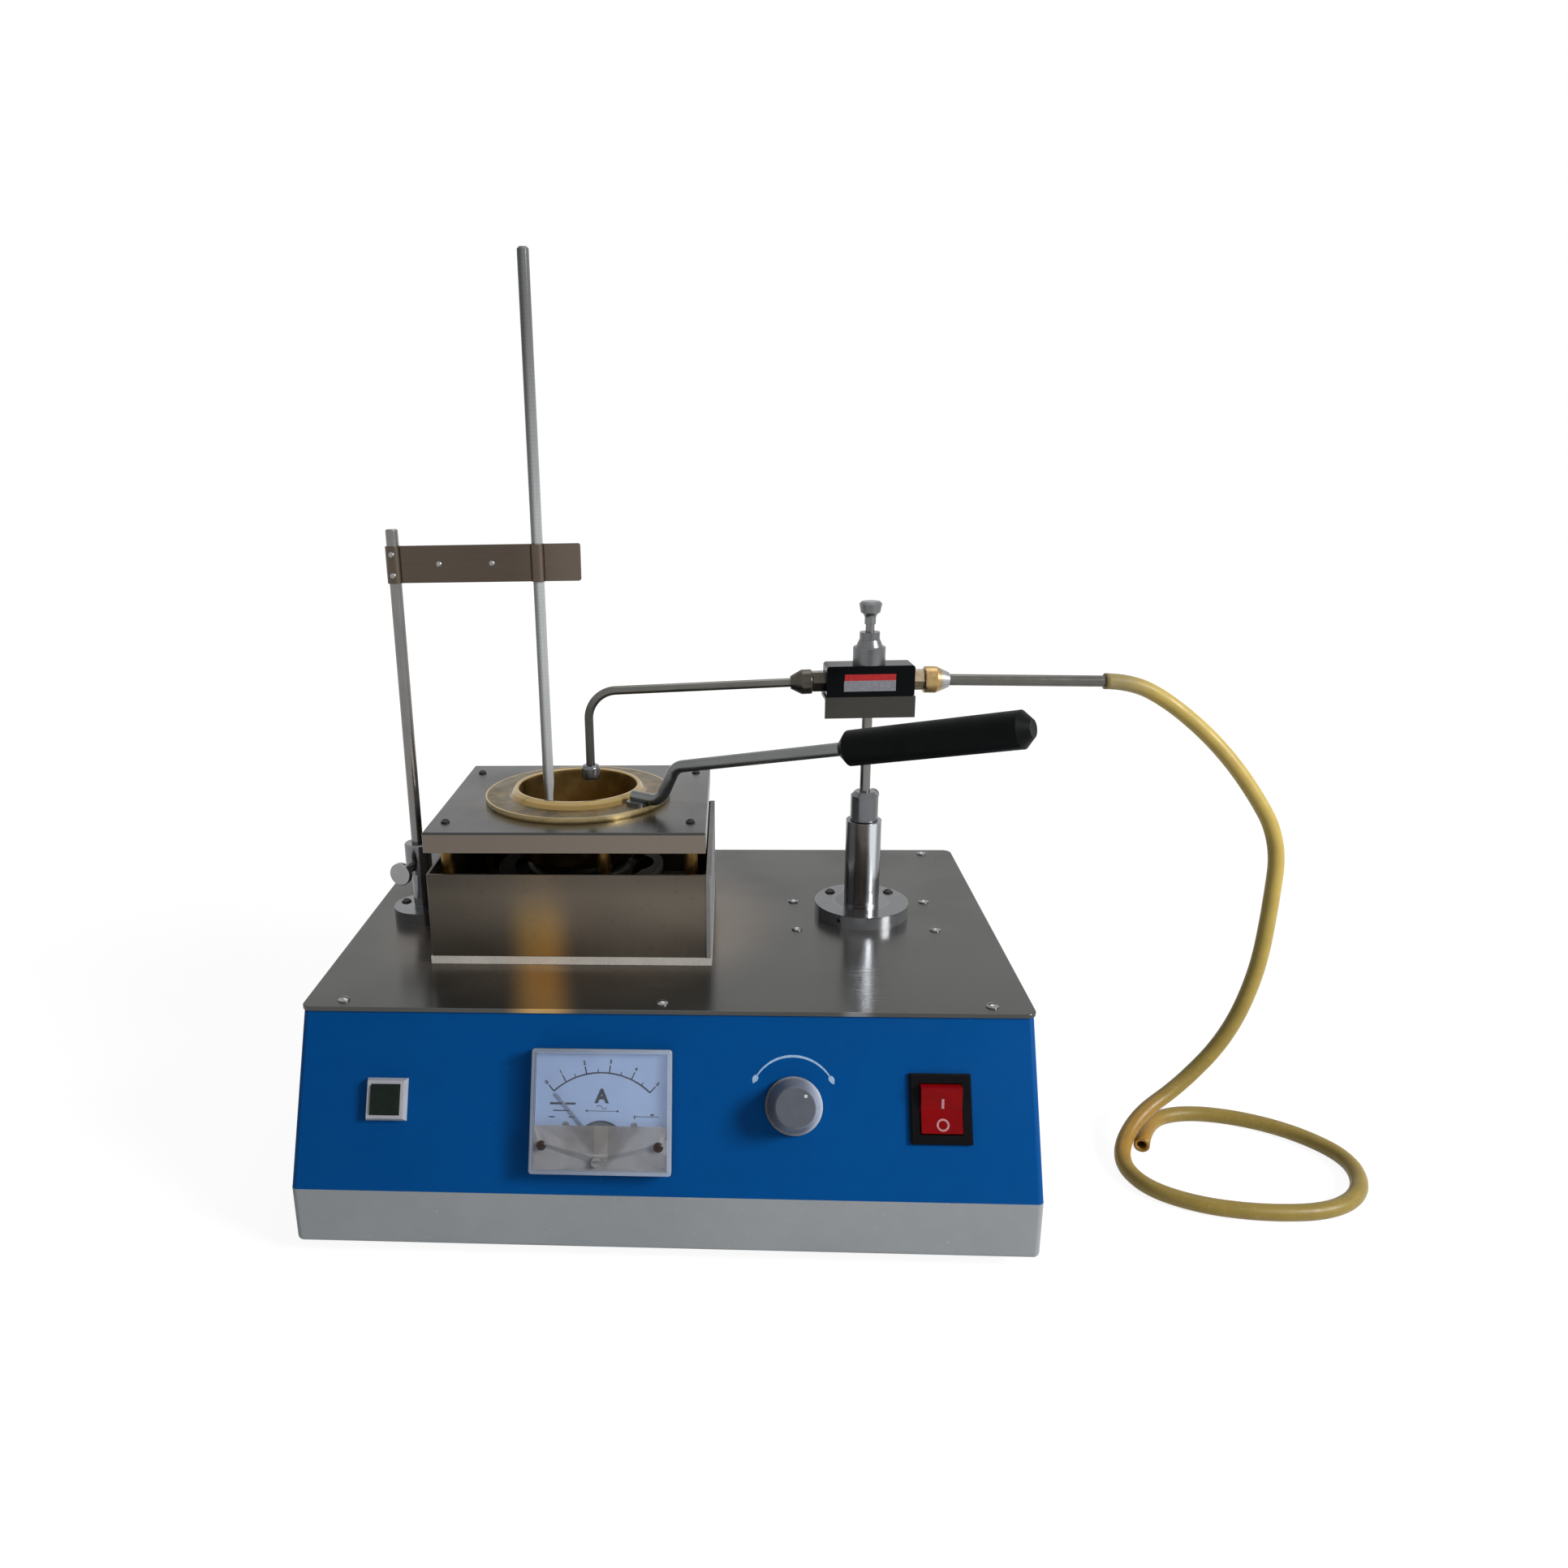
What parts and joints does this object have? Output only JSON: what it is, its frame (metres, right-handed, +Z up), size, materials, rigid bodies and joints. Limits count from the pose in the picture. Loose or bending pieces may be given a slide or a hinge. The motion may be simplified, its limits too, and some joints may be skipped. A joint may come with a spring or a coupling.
{
  "type": "flash point tester",
  "caption": "Open-cup flash point tester: sloping control panel, electric furnace with test cup and handle, thermometer stand, and a swinging gas jet on a post fed by a hose.",
  "frame": {"origin": "on the bench, in the middle of the rigid instrument's footprint", "axes": "+X to the operator's right, +Y away from the operator, +Z up; the control panel faces -Y"},
  "size_m": [0.5202, 0.266, 0.452],
  "materials": {
    "grey_paint": "satin",
    "blue_paint": "satin",
    "stainless_plate": "satin",
    "steel_screws": "semi-gloss",
    "black_rubber": "matte",
    "black_plastic": "satin",
    "plated_brass": "satin",
    "circuit_board": "satin",
    "bare_aluminium": "satin",
    "grey_board": "matte",
    "furnace_steel": "satin",
    "furnace_plate": "satin",
    "dark_screws": "satin",
    "brass": "satin",
    "ceramic": "matte",
    "element_steel": "matte",
    "cup_brass": "satin",
    "dark_steel": "satin",
    "grip_plastic": "matte",
    "chromed_steel": "polished",
    "polished_steel": "polished",
    "strip_steel": "satin",
    "thermometer_glass": "clear",
    "thermometer_liquid": "polished",
    "motor_metal": "satin",
    "valve_black": "gloss",
    "valve_metal": "satin",
    "amber_latex": "satin",
    "button_bezel": "gloss",
    "green_cap": "gloss",
    "clear_cover": "clear",
    "frosted_mask": "matte",
    "dial_white": "matte",
    "movement_dark": "matte",
    "needle_black": "matte",
    "grey_knob": "satin",
    "rocker_red": "gloss"
  },
  "bodies": {
    "case": {"base_tray": "grey_paint", "upper_shell": "blue_paint", "top_plate": "stainless_plate", "top_plate_screws": "steel_screws", "feet": "black_rubber", "foot_screws": "steel_screws", "power_inlet": "black_plastic", "inlet_pins": "plated_brass", "board_standoffs": "plated_brass", "control_board": "circuit_board", "heat_sink": "bare_aluminium", "furnace_base": "grey_board", "furnace_shell": "furnace_steel", "furnace_side_panel": "grey_board", "furnace_top_plate": "furnace_plate", "furnace_top_screws": "dark_screws", "furnace_pillars": "brass", "heater_former": "ceramic", "heater_element": "element_steel", "stand_socket": "chromed_steel", "flange_screws": "dark_screws", "arm_pedestal": "chromed_steel", "motor_bracket": "stainless_plate", "motor_bracket_screws": "steel_screws", "sweep_motor": "motor_metal", "button_housing": "button_bezel", "meter_case": "black_plastic", "meter_cover": "clear_cover", "meter_mask": "frosted_mask", "meter_dial": "dial_white", "meter_movement": "movement_dark", "meter_studs": "black_plastic", "regulator_pot": "motor_metal", "switch_housing": "black_plastic"},
    "button": {"button_cap": "green_cap"},
    "needle": {"meter_needle": "needle_black"},
    "zero_adjuster": {"meter_zero_screw": "black_plastic"},
    "knob": {"regulator_knob": "grey_knob"},
    "rocker": {"switch_rocker": "rocker_red"},
    "cup": {"test_cup": "cup_brass", "cup_handle": "dark_steel", "cup_grip": "grip_plastic"},
    "rod": {"stand_rod": "polished_steel"},
    "rod_lock": {"stand_thumb_screw": "steel_screws"},
    "clamp": {"thermometer_clamp": "strip_steel", "clamp_screws": "steel_screws"},
    "thermometer": {"thermometer_glass": "thermometer_glass", "thermometer_column": "thermometer_liquid"},
    "swing": {"swing_head": "chromed_steel"},
    "head_lock": {"head_lock_screw": "polished_steel"},
    "riser": {"riser_rod": "polished_steel", "valve_bracket": "strip_steel", "valve_body": "valve_black", "valve_bonnet": "valve_metal", "compression_fittings": "brass", "jet_tube": "polished_steel", "flame_jet": "chromed_steel", "inlet_tube": "polished_steel", "gas_hose": "amber_latex"},
    "tap": {"valve_knob": "bare_aluminium"}
  },
  "joints": [
    {"name": "button_press", "type": "slide", "parent": "case", "child": "button", "axis": [0, 0.883, -0.4693], "range_m": [0, 0.0025], "stiffness_N_per_m": 400},
    {"name": "needle_swing", "type": "hinge", "parent": "case", "child": "needle", "pos_m": [-0.0585, -0.11886, 0.05557], "axis": [0, 0.883, -0.4693], "range_deg": [0, 84], "stiffness_Nm_per_rad": 0.0005},
    {"name": "zero_turn", "type": "hinge", "parent": "case", "child": "zero_adjuster", "pos_m": [-0.06, -0.12177, 0.0501], "axis": [0, 0.883, -0.4693], "range_deg": [-20, 20]},
    {"name": "knob_turn", "type": "hinge", "parent": "case", "child": "knob", "pos_m": [0.0284, -0.10995, 0.07235], "axis": [0, 0.883, -0.4693], "range_deg": [-60, 240]},
    {"name": "rocker_tip", "type": "hinge", "parent": "case", "child": "rocker", "pos_m": [0.094, -0.11009, 0.07209], "axis": [1, 0, 0], "range_deg": [-18, 0]},
    {"name": "cup_turn", "type": "hinge", "parent": "case", "child": "cup", "pos_m": [-0.082, 0.02, 0.18], "axis": [0, 0, 1], "range_deg": [-12, 24]},
    {"name": "rod_height", "type": "slide", "parent": "case", "child": "rod", "axis": [0, 0, 1], "range_m": [0, 0.02]},
    {"name": "rod_lock_turn", "type": "hinge", "parent": "case", "child": "rod_lock", "pos_m": [-0.1725, 0.02, 0.1415], "axis": [-0.2756, -0.9613, 0], "range_deg": [0, 360]},
    {"name": "clamp_height", "type": "slide", "parent": "rod", "child": "clamp", "axis": [0, 0, 1], "range_m": [-0.003, 0.009]},
    {"name": "thermometer_height", "type": "slide", "parent": "clamp", "child": "thermometer", "axis": [0, 0, 1], "range_m": [-0.002, 0.1]},
    {"name": "arm_swing", "type": "hinge", "parent": "case", "child": "swing", "pos_m": [0.072, 0.028, 0.164], "axis": [0, 0, 1], "range_deg": [-25, 25]},
    {"name": "head_lock_turn", "type": "hinge", "parent": "swing", "child": "head_lock", "pos_m": [0.072, 0.028, 0.1755], "axis": [0.515, 0.8572, 0], "range_deg": [0, 360]},
    {"name": "riser_height", "type": "slide", "parent": "swing", "child": "riser", "axis": [0, 0, 1], "range_m": [-0.0005, 0.012]},
    {"name": "tap_turn", "type": "hinge", "parent": "riser", "child": "tap", "pos_m": [0.072, 0.028, 0.252], "axis": [0, 0, 1], "range_deg": [0, 360]}
  ]
}
